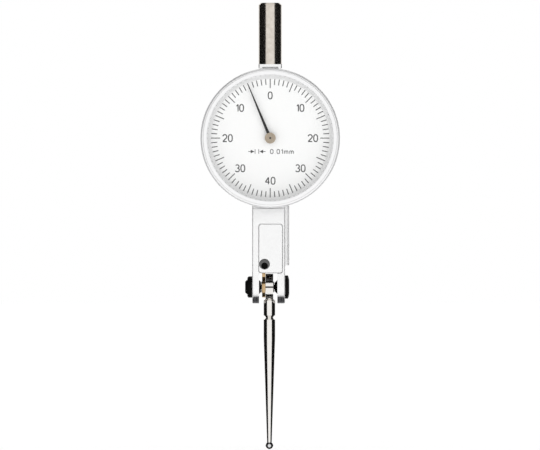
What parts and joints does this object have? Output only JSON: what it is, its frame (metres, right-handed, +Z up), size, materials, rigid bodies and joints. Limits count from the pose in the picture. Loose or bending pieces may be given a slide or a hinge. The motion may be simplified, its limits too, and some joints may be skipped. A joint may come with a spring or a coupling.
{
  "type": "dial test indicator",
  "caption": "Dial test indicator with a round white dial, turning bezel, clamping stem, slim nose with a fork and a long tapered stylus that drives the pointer through a gear train",
  "frame": {"origin": "On the stem's axis where the stem leaves its foot", "axes": "+Z runs up the stem, the dial faces -Y, and +X is to the right of someone reading the dial"},
  "size_m": [0.0358, 0.0132, 0.1147],
  "materials": {
    "satin_chrome": "satin chrome plate",
    "polished_steel": "hardened and polished steel",
    "plain_steel": "turned steel",
    "spring_steel": "blued spring steel",
    "black_oxide": "black oxide on steel",
    "black_paint": "matt black paint",
    "brass": "machined brass",
    "ruby": "polished synthetic ruby",
    "carbide": "ground carbide",
    "dial_white": "matt white dial paint",
    "ring_silver": "fine turned aluminium",
    "crystal": "clear watch crystal"
  },
  "bodies": {
    "frame": {"housing": "satin_chrome", "nose_cover": "satin_chrome", "stop_screw": "black_oxide", "stem": "polished_steel", "stem_foot": "satin_chrome", "right_pivot_screw": "black_oxide", "left_pivot_screw": "black_oxide", "lock_nut": "black_oxide", "movement_frame": "brass", "frame_screws": "plain_steel", "dial_bridge": "brass", "bridge_screws": "plain_steel", "crown_jewels": "ruby", "pointer_jewels": "ruby", "hairspring_anchor": "brass", "hairspring": "spring_steel", "snap_ring": "spring_steel"},
    "lever": {"lever_arm": "brass", "spindle": "plain_steel", "spindle_collar": "black_oxide"},
    "stylus": {"stylus_hub": "polished_steel", "stylus": "polished_steel", "contact_ball": "carbide"},
    "crown": {"crown_arbor": "plain_steel", "crown_wheel": "brass"},
    "pointer": {"pointer_arbor": "plain_steel", "pointer_pinion": "plain_steel", "hairspring_collet": "brass", "pointer_hand": "black_paint", "pointer_boss": "brass"},
    "bezel": {"bezel": "satin_chrome", "dial_plate": "dial_white", "dial_ring": "ring_silver", "crystal": "crystal"}
  },
  "joints": [
    {"name": "lever_pivot", "type": "hinge", "parent": "frame", "child": "lever", "pos_m": [0, 0, -0.0572], "axis": [-1, 0, 0], "range_deg": [0, 1.2], "stiffness_Nm_per_rad": 0.1, "springref_deg": -3.44},
    {"name": "stylus_swivel", "type": "hinge", "parent": "lever", "child": "stylus", "pos_m": [0, 0, -0.0572], "axis": [1, 0, 0], "range_deg": [-110, 110]},
    {"name": "crown_turn", "type": "hinge", "parent": "frame", "child": "crown", "pos_m": [0, 0.0007, -0.019], "axis": [1, 0, 0], "range_deg": [0, 115]},
    {"name": "pointer_turn", "type": "hinge", "parent": "frame", "child": "pointer", "pos_m": [0, 0, -0.019], "axis": [0, 1, 0], "range_deg": [0, 383], "deforming": ["hairspring"]},
    {"name": "bezel_turn", "type": "hinge", "parent": "frame", "child": "bezel", "pos_m": [0, 0, -0.019], "axis": [0, 1, 0], "continuous": true}
  ],
  "couplings": [
    {"joint": "crown_turn", "follows": "lever_pivot", "ratio": 95.897},
    {"joint": "pointer_turn", "follows": "lever_pivot", "ratio": 319.66}
  ]
}
